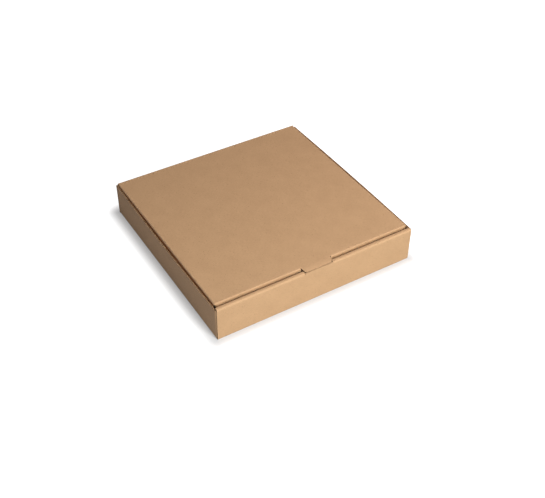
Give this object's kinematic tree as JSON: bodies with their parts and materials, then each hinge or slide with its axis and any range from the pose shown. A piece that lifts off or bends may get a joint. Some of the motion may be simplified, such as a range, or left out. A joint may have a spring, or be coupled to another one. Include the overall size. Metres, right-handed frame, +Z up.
{
  "type": "pizza box",
  "caption": "Square flat folding pizza box of plain corrugated board with a hinged lid, tuck flap and thumb tab, shown closed.",
  "frame": {"origin": "middle of the footprint, on the surface that the box stands on", "axes": "+Z up, +Y from the front wall with the thumb tab to the hinged back wall, +X to the right when facing the front wall"},
  "size_m": [0.31, 0.305, 0.0528],
  "materials": {
    "kraft_board": "matt brown kraft liner"
  },
  "bodies": {
    "tray": {"tray": "kraft_board"},
    "lid": {"lid": "kraft_board"}
  },
  "joints": [
    {"name": "lid_hinge", "type": "hinge", "parent": "tray", "child": "lid", "pos_m": [0, 0.1517, 0.052], "axis": [-1, 0, 0], "range_deg": [0, 180]}
  ]
}
